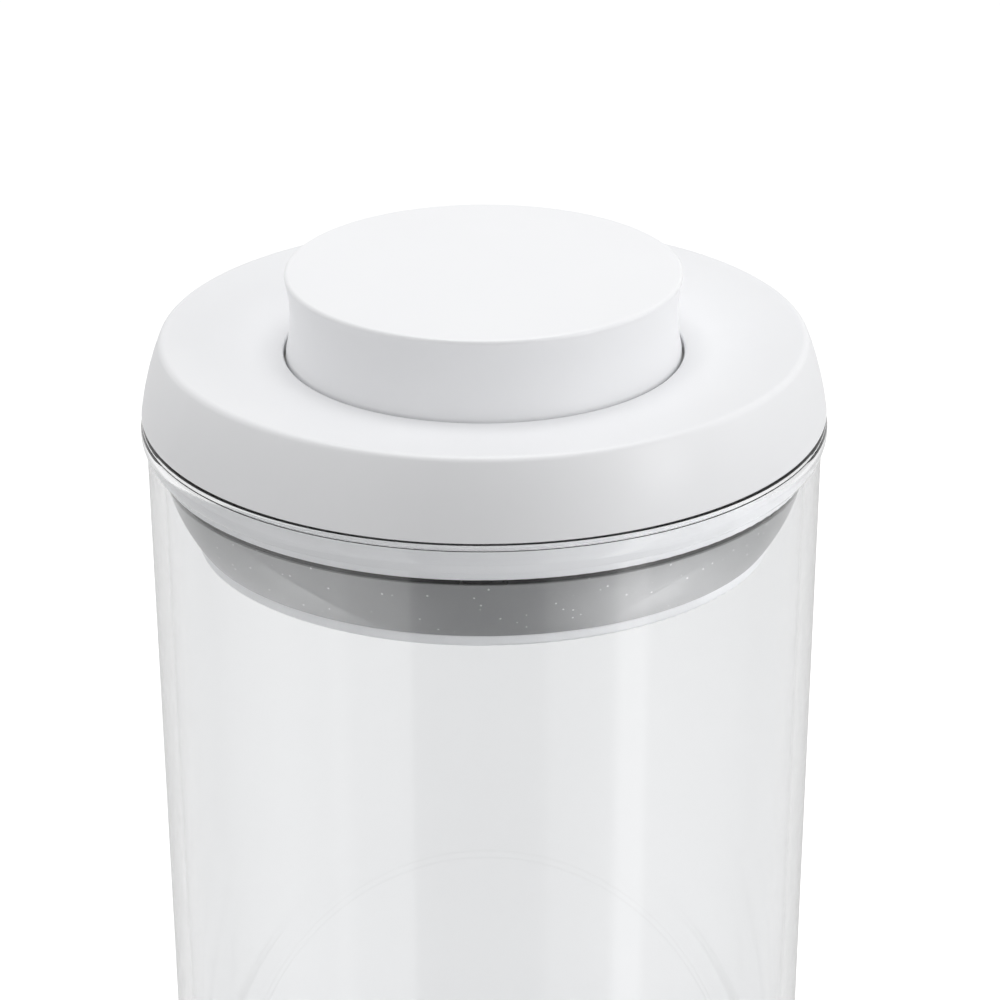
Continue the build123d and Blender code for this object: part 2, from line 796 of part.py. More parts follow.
def spring_point(turn):
    """Centre of the wire after a number of turns."""
    angle = 2 * math.pi * turn
    height = spring_low_z + closed_pitch * turn + (open_pitch - closed_pitch) * opened(turn)
    return Vector(spring_radius * math.cos(angle), spring_radius * math.sin(angle), height)


def spring_direction(turn):
    """Unit vector along the wire after a number of turns."""
    angle = 2 * math.pi * turn
    ramp = min(max(min(turn, spring_turns - turn) - 0.5, 0), 1)
    pitch = closed_pitch + (open_pitch - closed_pitch) * ramp
    climb = pitch / (2 * math.pi * spring_radius)
    return Vector(-math.sin(angle), math.cos(angle), climb).normalized()


def biarc(turn_from, turn_to):
    """Two arcs that leave and arrive along the wire and share one direction where they meet."""
    start, end = spring_point(turn_from), spring_point(turn_to)
    leaving, arriving = spring_direction(turn_from), spring_direction(turn_to)
    chord, both = end - start, leaving + arriving
    square = both.dot(both) - 4
    linear = -2 * chord.dot(both)
    constant = chord.dot(chord)
    reach = (-linear - math.sqrt(linear * linear - 4 * square * constant)) / (2 * square)
    first_corner = start + leaving * reach
    last_corner = end - arriving * reach
    meeting = (first_corner + last_corner) / 2
    TangentArc(start, meeting, tangent=leaving)
    TangentArc(meeting, end, tangent=last_corner - first_corner)


with BuildPart() as return_spring:
    with BuildLine() as spring_path:
        for half_turn in range(spring_turns * 2):
            biarc(half_turn / 2, half_turn / 2 + 0.5)
    with BuildSketch(Plane(origin=spring_point(0), z_dir=spring_direction(0))):
        Circle(wire_half)
    sweep(path=spring_path.line)
finish(return_spring, "return_spring")

steps = 40
samples = [spring_path.line @ (k / (steps * spring_turns)) for k in range(steps * spring_turns + 1)]
apart = [
    (one - other).length - spring_wire
    for place, one in enumerate(samples)
    for other in samples[place + steps // 2:]
]
print(f"return_spring: least gap to itself {min(apart):.2f} mm")


# Countersunk screws from the web through the guide ring into the plate
with BuildPart(Plane.XY.offset(web_top_z)) as base_screws:
    with PolarLocations(screw_circle_radius, shoe_count, start_angle=screw_turn):
        Cone(
            screw_radius,
            screw_head_radius,
            screw_head_height,
            align=(Align.CENTER, Align.CENTER, Align.MAX),
        )
        Cylinder(
            screw_radius,
            web_top_z - well_bottom_z - screw_floor - moving_gap,
            align=(Align.CENTER, Align.CENTER, Align.MAX),
        )
finish(base_screws, "base_screws")


# Screws from under the disc into the button's bosses
with BuildPart(Plane.XY.offset(disc_bottom_z)) as button_screws:
    with PolarLocations(boss_circle_radius, button_bosses, start_angle=button_boss_turn):
        Cylinder(
            screw_head_radius,
            screw_head_height,
            align=(Align.CENTER, Align.CENTER, Align.MAX),
        )
        Cylinder(
            screw_radius,
            disc_thickness + button_screw_length - moving_gap,
            align=(Align.CENTER, Align.CENTER, Align.MIN),
        )
finish(button_screws, "button_screws")

print(f"button_press range {-button_stroke:.1f} to 0, shoes move {shoe_travel:.2f} outwards")
print(f"latch pivot (0, {wire_y:.2f}, {pivot_z:.2f}), swing 0 to {latch_swing:.0f} degrees")
print(f"cover edge z {lid_z:.2f}, well floor z {well_floor_z:.2f}, well bottom z {well_bottom_z:.2f}")
print(f"inner radius at the floor {wall_radius(floor_z) - wall:.2f}, floor z {floor_z:.2f}")
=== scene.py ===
# %% [markdown]
# # A clear canister with a push-button lid
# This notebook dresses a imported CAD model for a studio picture. The frame gives every solid
# at its real place, in metres. Each cell adds one thing: the camera, the studio, a finish or
# a piece of the lid. Pieces that a camera comes close to are turned again here with finer
# rings and soft edges. The hidden ones keep their CAD meshes and only get a finish.

# %% Load the frame
import math

import bmesh
import bpy
from mathutils import Matrix, Vector


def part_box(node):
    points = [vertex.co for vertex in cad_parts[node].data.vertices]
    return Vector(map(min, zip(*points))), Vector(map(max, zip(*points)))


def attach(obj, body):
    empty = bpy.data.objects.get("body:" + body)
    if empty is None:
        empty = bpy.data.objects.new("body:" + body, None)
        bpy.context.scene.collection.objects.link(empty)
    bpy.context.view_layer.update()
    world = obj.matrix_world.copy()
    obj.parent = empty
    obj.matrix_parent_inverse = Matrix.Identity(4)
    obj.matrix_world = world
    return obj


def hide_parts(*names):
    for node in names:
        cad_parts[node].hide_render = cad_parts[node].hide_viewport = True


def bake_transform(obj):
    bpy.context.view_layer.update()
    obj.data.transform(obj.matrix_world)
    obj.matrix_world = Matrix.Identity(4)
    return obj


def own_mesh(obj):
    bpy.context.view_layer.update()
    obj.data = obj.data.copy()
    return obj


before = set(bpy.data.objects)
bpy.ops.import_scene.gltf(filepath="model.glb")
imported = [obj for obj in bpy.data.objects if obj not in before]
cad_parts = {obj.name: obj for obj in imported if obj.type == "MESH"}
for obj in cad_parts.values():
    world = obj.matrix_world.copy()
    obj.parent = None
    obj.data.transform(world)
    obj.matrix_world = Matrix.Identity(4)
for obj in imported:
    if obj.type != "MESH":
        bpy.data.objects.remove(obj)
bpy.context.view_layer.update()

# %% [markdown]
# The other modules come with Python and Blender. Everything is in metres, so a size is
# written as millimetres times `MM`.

MM = 0.001

# %% [markdown]
# ## Heights that the pieces share
# The lid hangs from the cover's lower edge, so most heights are counted from there. They
# are read from the boxes of the CAD nodes, so a change in the CAD model carries over.

# %% Shared heights
canister_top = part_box("canister")[1].z
cover_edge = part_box("lid_cover")[0].z
button_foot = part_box("button")[0].z
button_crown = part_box("button")[1].z
gasket_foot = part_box("gasket")[0].z
gasket_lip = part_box("gasket")[1].z
print("cover edge", round(cover_edge, 4), "button", round(button_foot, 4), round(button_crown, 4))

# %% [markdown]
# ## Camera
# The photograph looks down on the lid with a long lens. A long lens flattens the ellipses
# of the lid, so the distance and the lens are set together: from too near, the button
# would hide more of the cover behind it.

# %% Camera
CAMERA_PLACE = Vector((3.0, -626.1, 456.5)) * MM
CAMERA_DOWN = math.radians(23.8745)
CAMERA_ROLL = math.radians(-0.145)
LENS_MM = 126
SENSOR_MM = 36
NEAREST_SEEN = 10 * MM

camera_data = bpy.data.cameras.new("camera")
camera_data.lens = LENS_MM
camera_data.sensor_width = SENSOR_MM
camera_data.clip_start = NEAREST_SEEN
camera = bpy.data.objects.new("camera", camera_data)
camera.location = CAMERA_PLACE
tilt = Matrix.Rotation(math.pi / 2 - CAMERA_DOWN, 3, "X") @ Matrix.Rotation(CAMERA_ROLL, 3, "Z")
camera.rotation_euler = tilt.to_euler()
bpy.context.scene.collection.objects.link(camera)
bpy.context.scene.camera = camera
bpy.context.scene.view_settings.view_transform = "Standard"
print("camera", [round(v, 3) for v in camera.location])

# %% [markdown]
# ## Writing shader maths as Python
# A shader's numbers travel along links between sockets. This small class wraps a socket, so
# that `1 - mask * 0.5` adds the Math nodes by itself. Colours do not go through it: a Math
# node would turn them grey.


# %% Sockets that add their own Math nodes
class Socket:
    """An output socket of a material. Its operators add Math nodes."""

    def __init__(self, finish, output):
        self.finish = finish
        self.output = output

    def maths(self, operation, first, second):
        return self.finish.add("ShaderNodeMath", {"operation": operation}, {0: first, 1: second})

    def __add__(self, other):
        return self.maths("ADD", self, other)

    def __radd__(self, other):
        return self.maths("ADD", other, self)

    def __sub__(self, other):
        return self.maths("SUBTRACT", self, other)

    def __rsub__(self, other):
        return self.maths("SUBTRACT", other, self)

    def __mul__(self, other):
        return self.maths("MULTIPLY", self, other)

    def __rmul__(self, other):
        return self.maths("MULTIPLY", other, self)

    def __gt__(self, other):
        return self.maths("GREATER_THAN", self, other)

    def __lt__(self, other):
        return self.maths("LESS_THAN", self, other)


print("sockets understand + - * > <")

# %% [markdown]
# A finish is one material. Its `add` method makes any node: the settings come first, because
# some of them change which sockets the node has, and then the values or links. The other
# methods are short names for the nodes that nearly every finish here needs.


# %% One method for every node
class Finish:
    """A material and its node tree."""

    def __init__(self, name, owner=None):
        self.material = owner or bpy.data.materials.new(name)
        self.material.use_nodes = True
        self.tree = self.material.node_tree
        self.tree.nodes.clear()

    def add(self, kind, settings=None, sockets=None, output=0):
        node = self.tree.nodes.new(kind)
        for key, value in (settings or {}).items():
            if key == "stops":
                self.set_stops(node.color_ramp, value)
            else:
                setattr(node, key, value)
        for key, value in (sockets or {}).items():
            if isinstance(value, Socket):
                self.tree.links.new(value.output, node.inputs[key])
            else:
                node.inputs[key].default_value = value
        return Socket(self, node.outputs[output]) if len(node.outputs) else None

    def set_stops(self, ramp, stops):
        while len(ramp.elements) > 1:
            ramp.elements.remove(ramp.elements[-1])
        for number, (place, grey) in enumerate(stops):
            stop = ramp.elements[0] if number == 0 else ramp.elements.new(place)
            stop.position = place
            stop.color = (grey, grey, grey, 1)

    def place(self):
        """The point in the frame's own space: every object's origin is the frame's."""
        return self.add("ShaderNodeTexCoord", output="Object")

    def noise(self, size, detail=2.0):
        """Soft cloudy values near one half, with blotches of about that size in metres."""
        return self.add(
            "ShaderNodeTexNoise",
            {"noise_dimensions": "3D"},
            {"Vector": self.place(), "Scale": 1 / size, "Detail": detail},
        )

    def mix(self, factor, first, second):
        """Blend of two colours."""
        return self.add(
            "ShaderNodeMix",
            {"data_type": "RGBA"},
            {"Factor": factor, 6: first, 7: second},
            output=2,
        )

    def bump(self, height, depth):
        """A normal tilted by a height pattern that is depth metres deep."""
        return self.add("ShaderNodeBump", {}, {"Height": height, "Distance": depth})

    def surface(self, shader):
        self.add("ShaderNodeOutputMaterial", {}, {"Surface": shader})
        return self.material


print("a finish adds any node")

# %% [markdown]
# Noise runs from 0 to 1 with its mean near one half. A finish needs it between limits of its
# own, such as the least and the greatest roughness. A Map Range node could do it too, but as
# an expression it shows how the operators of a socket are used.


# %% Stretching a pattern
def spread(pattern, low, high):
    """A pattern from 0 to 1, stretched so that it runs from low to high."""
    return pattern * (high - low) + low


print("a pattern can be spread between two limits")

# %% [markdown]
# ## Studio
# The object stands on a plain pale floor under large soft lamps. White comes from the floor
# and the world themselves: what the camera sees directly, or through the clear wall, is
# white, while the lamps stay low enough that the white lid keeps its shading. The lamps do
# not reach the floor far away, so there it gets more of its own light, or a view from the
# side would show a grey band through the wall.

# %% Floor
FLOOR_SIZE = 6.0
FLOOR_GREY = 0.8
FLOOR_DRIFT = 0.01
FLOOR_BLOTCH = 0.4
FLOOR_LIFT = 0.5
BENT_LIFT_NEAR = 0.12
BENT_LIFT_FAR = 0.6
NEAR_FLOOR = 0.7
FAR_FLOOR = 1.5


def seen_directly(finish, straight, bent):
    """One value for the camera's own rays, one for mirrored and refracted ones, else 0."""
    camera_ray = finish.add("ShaderNodeLightPath", output="Is Camera Ray")
    glossy_ray = finish.add("ShaderNodeLightPath", output="Is Glossy Ray")
    clear_ray = finish.add("ShaderNodeLightPath", output="Is Transmission Ray")
    return camera_ray * straight + glossy_ray.maths("MAXIMUM", glossy_ray, clear_ray) * bent


floor_finish = Finish("studio floor")
floor_distance = floor_finish.add(
    "ShaderNodeVectorMath", {"operation": "LENGTH"}, {0: floor_finish.place()}, output="Value"
)
far = floor_finish.add(
    "ShaderNodeMapRange",
    {"interpolation_type": "SMOOTHSTEP"},
    {"Value": floor_distance, "From Min": NEAR_FLOOR, "From Max": FAR_FLOOR},
)
bent_lift = spread(far, BENT_LIFT_NEAR, BENT_LIFT_FAR)
lift = seen_directly(floor_finish, FLOOR_LIFT, bent_lift)
floor_clouds = floor_finish.noise(FLOOR_BLOTCH)
floor_tone = spread(floor_clouds, FLOOR_GREY - FLOOR_DRIFT, FLOOR_GREY + FLOOR_DRIFT)
floor_diffuse = floor_finish.add("ShaderNodeBsdfDiffuse", {}, {"Color": floor_tone})
floor_glow = floor_finish.add("ShaderNodeEmission", {}, {"Strength": lift})
floor_both = floor_finish.add("ShaderNodeAddShader", {}, {0: floor_diffuse, 1: floor_glow})
floor_material = floor_finish.surface(floor_both)

floor_mesh = bpy.data.meshes.new("floor")
half = FLOOR_SIZE / 2
floor_mesh.from_pydata(
    [(-half, -half, 0), (half, -half, 0), (half, half, 0), (-half, half, 0)], [], [(0, 1, 2, 3)]
)
floor = bpy.data.objects.new("floor", floor_mesh)
floor.data.materials.append(floor_material)
floor.visible_glossy = False
bpy.context.scene.collection.objects.link(floor)
print("floor", FLOOR_SIZE, "m")

# %% [markdown]
# ### World
# The world is the air round the object. A panorama of a room would put windows into every
# reflection, and a white world at full strength would wash out the shading of a white lid.
# So the world is white where it is seen, and lights the object with little more than half
# of that. The mask is 1 for what is seen, so `1 - seen` is what only lights.

# %% World
WORLD_AMBIENT = 0.58

world = bpy.data.worlds.new("studio")
bpy.context.scene.world = world
air = Finish("studio", owner=world)
seen = seen_directly(air, 1, 1)
level = seen + (1 - seen) * WORLD_AMBIENT
glow = air.add("ShaderNodeBackground", {}, {"Strength": level})
air.add("ShaderNodeOutputWorld", {}, {"Surface": glow})
print("world ambient", WORLD_AMBIENT)

# %% [markdown]
# ### Lamps
# Two large softboxes stand left and right, and one hangs over the lid. A small one on the
# right, nearer to the camera, puts one bright spot on the flank of the cover. A softbox is
# as bright to look at as its power divided by its area, so the helper takes the brightness
# and works out the power. The lamps do not show to the camera or through the clear wall.

# %% Lamps
# Each lamp's name, its place, width and height in metres, and its brightness
SOFTBOXES = (
    ("softbox_left", (-0.85, 0.5, 0.45), 0.7, 0.8, 0.7),
    ("softbox_right", (0.9, 0.0, 0.45), 0.7, 0.8, 1.15),
    ("softbox_top", (0, 0.15, 1.3), 0.9, 0.9, 2.55),
    ("softbox_small", (0.72, -0.44, 0.33), 0.12, 0.16, 11.5),
)


def softbox(name, place, target, width, height, brightness):
    """A rectangular lamp that faces its target."""
    data = bpy.data.lights.new(name, "AREA")
    data.shape = "RECTANGLE"
    data.size = width
    data.size_y = height
    data.energy = brightness * math.pi * width * height
    lamp = bpy.data.objects.new(name, data)
    lamp.location = place
    lamp.rotation_euler = (Vector(target) - Vector(place)).to_track_quat("-Z", "Y").to_euler()
    lamp.visible_camera = False
    lamp.visible_transmission = False
    bpy.context.scene.collection.objects.link(lamp)
    print(name, round(data.energy, 2), "W")
    return lamp


lid_middle = (0, 0, cover_edge)
for name, place, *shape_and_brightness in SOFTBOXES:
    softbox(name, place, lid_middle, *shape_and_brightness)

# %% [markdown]
# ### Two low cards on the table
# The gasket leans inwards at its foot, so at its sides it mirrors the table beside the
# canister. A brighter floor there would also shine through the wall, so two small lamps lie
# just above the table instead and light nothing soft: only gloss shows them. They are kept
# in a list, because a later cell limits them to the gasket.

# %% Low cards
LOW_CARD_ACROSS = 0.16
LOW_CARD_DEPTH = -0.03
LOW_CARD_HEIGHT = 0.01
LOW_CARD_SIZE = (0.13, 0.18)
LOW_CARD_LEFT = 10.0
LOW_CARD_RIGHT = 9.4

low_cards = []
for side, brightness in ((-1, LOW_CARD_LEFT), (1, LOW_CARD_RIGHT)):
    low_place = (side * LOW_CARD_ACROSS, LOW_CARD_DEPTH, LOW_CARD_HEIGHT)
    straight_up = (low_place[0], low_place[1], 1)
    low_card = softbox(f"low_card_{side + 2}", low_place, straight_up, *LOW_CARD_SIZE, brightness)
    low_card.visible_diffuse = False
    low_cards.append(low_card)

# %% [markdown]
# ### Cards for the reflections
# A clear wall is mostly what it reflects. A ring of cards stands round the object, seen
# only in reflections: dark towards the camera and pale at the sides, with a wide bright card
# on the left and a narrow, brighter one on the right. One mesh with a colour ramp over the
# angle round the axis is easier to set than many single cards: a stop says where a card
# starts, and two close stops make a sharp edge.

# %% Cards
CARD_RING_RADIUS = 0.5
CARD_RING_LOW = -0.35
CARD_RING_HIGH = 0.55
CARD_SIDES = 96
FULL_TURN = 360.0
# Degrees from the camera's side, with the right side positive, and the grey there
CARD_STOPS = (
    (-180, 0.75),
    (-100, 0.8),
    (-68, 1.7),
    (-52, 1.6),
    (-48, 1.9),
    (-42, 1.4),
    (-28, 1.3),
    (-24, 1.2),
    (-22, 0.25),
    (-14, 0.05),
    (0, 0.0),
    (15, 0.1),
    (18.5, 0.2),
    (20.5, 0.75),
    (36, 1.1),
    (41, 1.4),
    (44.5, 2.7),
    (52, 2.7),
    (55, 1.8),
    (66, 1.5),
    (100, 0.8),
    (180, 0.75),
)
CARD_BRIGHTEST = 3.0

cards = Finish("reflection cards")
across = cards.add("ShaderNodeSeparateXYZ", {}, {0: cards.place()}, output="X")
depth = cards.add("ShaderNodeSeparateXYZ", {}, {0: cards.place()}, output="Y")
share = across.maths("ARCTAN2", across, depth * -1) * (1 / math.tau) + 0.5
stops = [(angle / FULL_TURN + 0.5, grey / CARD_BRIGHTEST) for angle, grey in CARD_STOPS]
tone = cards.add("ShaderNodeValToRGB", {"stops": stops}, {"Fac": share})
card_light = cards.add("ShaderNodeEmission", {}, {"Color": tone, "Strength": CARD_BRIGHTEST})
card_material = cards.surface(card_light)

ring_mesh = bpy.data.meshes.new("card_ring")
corners = []
for height in (CARD_RING_LOW, CARD_RING_HIGH):
    for k in range(CARD_SIDES):
        spoke = Vector((math.cos(math.tau * k / CARD_SIDES), math.sin(math.tau * k / CARD_SIDES)))
        corners.append((*(spoke * CARD_RING_RADIUS), height))
panels = [
    (k, (k + 1) % CARD_SIDES, CARD_SIDES + (k + 1) % CARD_SIDES, CARD_SIDES + k)
    for k in range(CARD_SIDES)
]
ring_mesh.from_pydata(corners, [], panels)
card_ring = bpy.data.objects.new("card_ring", ring_mesh)
card_ring.data.materials.append(card_material)
for kind in ("camera", "diffuse", "transmission", "shadow", "volume_scatter"):
    setattr(card_ring, "visible_" + kind, False)
bpy.context.scene.collection.objects.link(card_ring)
print("cards", len(CARD_STOPS))

# %% [markdown]
# ## Finishes
# The white parts are moulded in a satin plastic. Real mouldings are never perfectly even:
# the gloss changes a little where the plastic flowed, and the skin has a very fine orange
# peel. Both are far smaller than the piece, so they only soften its highlights. One colour
# without them would look like paint in a drawing program.

# %% White plastic
WHITE_CAST = (-0.01, -0.005, 0.01)
WHITE_DRIFT = 0.01
WHITE_FLOW = 18 * MM
WHITE_GLOSS_DRIFT = 0.04
WHITE_GLOSS_BLOTCH = 6 * MM
PEEL_SIZE = 0.35 * MM
PEEL_DEPTH = 0.002 * MM
WHITE_INDEX = 1.49


def white_tone(level):
    """A white of that level, with its slightly cool cast."""
    return (*(level + shift for shift in WHITE_CAST), 1)


def white_plastic(name, white, gloss):
    """Satin white moulding. White is its mean colour and gloss its mean roughness."""
    finish = Finish(name)
    flow = finish.noise(WHITE_FLOW, detail=3.0)
    gloss_clouds = finish.noise(WHITE_GLOSS_BLOTCH)
    least_rough, most_rough = gloss - WHITE_GLOSS_DRIFT, gloss + WHITE_GLOSS_DRIFT
    shader = finish.add(
        "ShaderNodeBsdfPrincipled",
        {},
        {
            "Base Color": finish.mix(
                flow, white_tone(white - WHITE_DRIFT), white_tone(white + WHITE_DRIFT)
            ),
            "Roughness": spread(gloss_clouds, least_rough, most_rough),
            "Normal": finish.bump(finish.noise(PEEL_SIZE, detail=1.0), PEEL_DEPTH),
            "IOR": WHITE_INDEX,
        },
    )
    return finish.surface(shader)


cover_white = white_plastic("white plastic, cover", white=0.89, gloss=0.36)
button_white = white_plastic("white plastic, button", white=0.94, gloss=0.30)
# The inside white is paler than the cover's. Part of it is the plastic's own white, and part is
# painted light: it stands in for the light that the neck gets from the table below, through the
# clear wall.
inner_white_with_painted_light = white_plastic("white plastic, inside, with painted light", white=0.94, gloss=0.42)
print("white", cover_white.name, button_white.name, inner_white_with_painted_light.name)

# %% [markdown]
# The canister is a thick clear plastic. A full refracting shader bends what stands behind
# the wall, which is what makes the gasket end short of the silhouette. The tint is tiny,
# because light crosses four skins on its way through. A refracting wall would shut the
# lamps out as a solid one does, so the rays that look for a lamp get a Transparent shader.

# %% Clear plastic
CLEAR_TINTS = ((0.955, 0.96, 0.965, 1), (0.965, 0.97, 0.975, 1))
CLEAR_TINT_BLOTCH = 60 * MM
CLEAR_ROUGHEST = 0.02
CLEAR_GLOSS_BLOTCH = 25 * MM
CLEAR_WAVE = 12 * MM
CLEAR_WAVE_DEPTH = 0.0004 * MM
CLEAR_INDEX = 1.5
CLEAR_SHADOW = (0.985, 0.985, 0.99, 1)

clear = Finish("clear plastic")
clear_shader = clear.add(
    "ShaderNodeBsdfPrincipled",
    {},
    {
        "Base Color": clear.mix(clear.noise(CLEAR_TINT_BLOTCH), *CLEAR_TINTS),
        "Roughness": clear.noise(CLEAR_GLOSS_BLOTCH) * CLEAR_ROUGHEST,
        "IOR": CLEAR_INDEX,
        "Transmission Weight": 1.0,
        "Normal": clear.bump(clear.noise(CLEAR_WAVE, detail=1.0), CLEAR_WAVE_DEPTH),
    },
)
shadow_ray = clear.add("ShaderNodeLightPath", output="Is Shadow Ray")
passing = clear.add("ShaderNodeBsdfTransparent", {}, {"Color": CLEAR_SHADOW})
clear_plastic = clear.surface(
    clear.add("ShaderNodeMixShader", {}, {0: shadow_ray, 1: clear_shader, 2: passing})
)
print("clear", clear_plastic.name)

# %% [markdown]
# Silicone is grey right through, with a smooth satin skin that holds dust. The dust is a
# sparse set of pale specks: a Voronoi cell picks one random point, and about half of the
# cells keep theirs. The grey is dark and the gloss strong, because the seal shades from
# dark at the front to pale at its sides.

# %% Grey silicone
SILICONE_TONES = ((0.215, 0.218, 0.222, 1), (0.24, 0.243, 0.247, 1))
SILICONE_BLOTCH = 5 * MM
SILICONE_SMOOTHEST = 0.35
SILICONE_ROUGHEST = 0.41
SILICONE_GLOSS_BLOTCH = 9 * MM
SPECK_CELL = 1.6 * MM
SPECK_RADIUS = 0.13
SPECK_SHARE = 0.5
SPECK_TONE = (0.7, 0.7, 0.7, 1)
SPECK_COVER = 0.8

silicone = Finish("grey silicone")
cell = {"Vector": silicone.place(), "Scale": 1 / SPECK_CELL}
speck_distance = silicone.add("ShaderNodeTexVoronoi", {}, cell, output="Distance")
speck_colour = silicone.add("ShaderNodeTexVoronoi", {}, cell, output="Color")
speck_pick = silicone.add("ShaderNodeSeparateColor", {}, {0: speck_colour})
speck = (speck_distance < SPECK_RADIUS) * (speck_pick > SPECK_SHARE)
silicone_grey = silicone.mix(silicone.noise(SILICONE_BLOTCH, detail=4.0), *SILICONE_TONES)
gloss_clouds = silicone.noise(SILICONE_GLOSS_BLOTCH)
silicone_shader = silicone.add(
    "ShaderNodeBsdfPrincipled",
    {},
    {
        "Base Color": silicone.mix(speck * SPECK_COVER, silicone_grey, SPECK_TONE),
        "Roughness": spread(gloss_clouds, SILICONE_SMOOTHEST, SILICONE_ROUGHEST),
        "IOR": 1.5,
        "Specular IOR Level": 1.0,
    },
)
grey_silicone = silicone.surface(silicone_shader)
print("silicone", grey_silicone.name)

# %% [markdown]
# The hidden parts of the lid are working plastics and steel. They show only through the
# slit above the gasket or with the lid taken apart, but each has its own finish. The guide
# ring and the shoes are a matt black moulding. The wedge ring and the heart cam are natural
# acetal, the milky plastic of small gears. One function makes both, because only the tones
# and the gloss differ.

# %% Working plastics
MOULDED_BLOTCH = 4 * MM
MOULDED_GLOSS_BLOTCH = 3 * MM
MOULDED_GLOSS_DRIFT = 0.05
MOULDED_GRAIN = 0.3 * MM
MOULDED_GRAIN_DEPTH = 0.006 * MM
BLACK_TONES = ((0.012, 0.012, 0.013, 1), (0.02, 0.02, 0.022, 1))
ACETAL_TONES = ((0.78, 0.78, 0.75, 1), (0.84, 0.84, 0.81, 1))


def moulded(name, tones, gloss):
    """A matt moulding whose colour drifts between two tones. Gloss is its mean roughness."""
    finish = Finish(name)
    gloss_clouds = finish.noise(MOULDED_GLOSS_BLOTCH)
    least_rough, most_rough = gloss - MOULDED_GLOSS_DRIFT, gloss + MOULDED_GLOSS_DRIFT
    shader = finish.add(
        "ShaderNodeBsdfPrincipled",
        {},
        {
            "Base Color": finish.mix(finish.noise(MOULDED_BLOTCH, detail=3.0), *tones),
            "Roughness": spread(gloss_clouds, least_rough, most_rough),
            "Normal": finish.bump(finish.noise(MOULDED_GRAIN), MOULDED_GRAIN_DEPTH),
        },
    )
    return finish.surface(shader)


black_plastic = moulded("black plastic", BLACK_TONES, gloss=0.5)
natural_acetal = moulded("natural acetal", ACETAL_TONES, gloss=0.38)
print("mouldings", black_plastic.name, natural_acetal.name)

# %% [markdown]
# The spring and the latch are drawn wire, the screws and the washer are plated. Both are
# metals: their colour is their reflection, and what tells them apart is mostly the grain of
# the fine scratches. One noise drives colour, roughness and bump, so that the three agree.

# %% Steel
STEEL_DRIFT = 0.1
SCRATCH_DEPTH = 0.003 * MM


def steel(name, grey, grain, smoothest, roughest):
    """Bright steel with fine scratches of the given grain, in metres."""
    finish = Finish(name)
    scratches = finish.noise(grain, detail=4.0)
    dark, light = ((tone, tone, tone, 1) for tone in (grey, grey + STEEL_DRIFT))
    shader = finish.add(
        "ShaderNodeBsdfPrincipled",
        {},
        {
            "Base Color": finish.mix(scratches, dark, light),
            "Metallic": 1.0,
            "Roughness": spread(scratches, smoothest, roughest),
            "Normal": finish.bump(scratches, SCRATCH_DEPTH),
        },
    )
    return finish.surface(shader)


spring_steel = steel("spring steel", grey=0.55, grain=0.4 * MM, smoothest=0.21, roughest=0.36)
plated_steel = steel("plated steel", grey=0.62, grain=0.8 * MM, smoothest=0.29, roughest=0.44)
print("steel", spring_steel.name, plated_steel.name)

# %% [markdown]
# ## Turning pieces
# Almost every visible piece is round, so it is an outline turned about the Z axis. The
# outline is a list of corners, each with its own edge radius, as on a drawing. A corner
# becomes a short arc, with one extra point beyond each end. Those hold the shading flat
# right up to the edge, so the edge catches a thin clean highlight. A Bevel modifier could
# round the edges too, but in an outline each radius stands beside its corner.

# %% Outline helpers
ARC_STEPS = 6
BOW_STEPS = 16
HOLD = 0.12 * MM


def arc_through(start, middle, end, steps):
    """Points on the arc through three points, both ends included."""
    (ax, ay), (bx, by), (cx, cy) = start, middle, end
    a_square, b_square, c_square = ax * ax + ay * ay, bx * bx + by * by, cx * cx + cy * cy
    doubled = 2 * (ax * (by - cy) + bx * (cy - ay) + cx * (ay - by))
    centre_x = (a_square * (by - cy) + b_square * (cy - ay) + c_square * (ay - by)) / doubled
    centre_y = (a_square * (cx - bx) + b_square * (ax - cx) + c_square * (bx - ax)) / doubled
    radius = math.hypot(ax - centre_x, ay - centre_y)
    first = math.atan2(ay - centre_y, ax - centre_x)
    last = math.atan2(cy - centre_y, cx - centre_x)
    sweep = (last - first + math.pi) % math.tau - math.pi
    turns = [first + sweep * k / steps for k in range(steps + 1)]
    return [(centre_x + radius * math.cos(t), centre_y + radius * math.sin(t)) for t in turns]


def bowed(start, end, bow, steps=BOW_STEPS):
    """Points on a shallow arc that stands bow to the right of the line from start to end."""
    across, up = end[0] - start[0], end[1] - start[1]
    length = math.hypot(across, up)
    middle = (
        (start[0] + end[0]) / 2 + bow * up / length,
        (start[1] + end[1]) / 2 - bow * across / length,
    )
    return arc_through(start, middle, end, steps)


def rounded(corners, steps=ARC_STEPS):
    """An outline whose corners are (radius, height) or (radius, height, edge radius)."""
    points = []
    for number, corner in enumerate(corners):
        here = Vector(corner[:2])
        edge = corner[2] if len(corner) > 2 else 0
        if not edge:
            points.append(tuple(here))
            continue
        before = Vector(corners[number - 1][:2]) - here
        after = Vector(corners[(number + 1) % len(corners)][:2]) - here
        half_angle = before.angle(after) / 2
        reach = edge / math.tan(half_angle)
        to_before, to_after = before.normalized(), after.normalized()
        centre = here + (to_before + to_after).normalized() * (edge / math.sin(half_angle))
        first = here + to_before * reach
        last = here + to_after * reach
        if before.length > reach + HOLD * 2:
            points.append(tuple(first + to_before * HOLD))
        for k in range(steps + 1):
            spoke = (first - centre).slerp(last - centre, k / steps)
            points.append(tuple(centre + spoke.normalized() * edge))
        if after.length > reach + HOLD * 2:
            points.append(tuple(last + to_after * HOLD))
    return points


print("outline helpers: arc_through, bowed, rounded")

# %% [markdown]
# A mesh is built in a bmesh, which can still be changed, and then becomes an object. Three
# kinds of piece end that way here, so one helper does it.


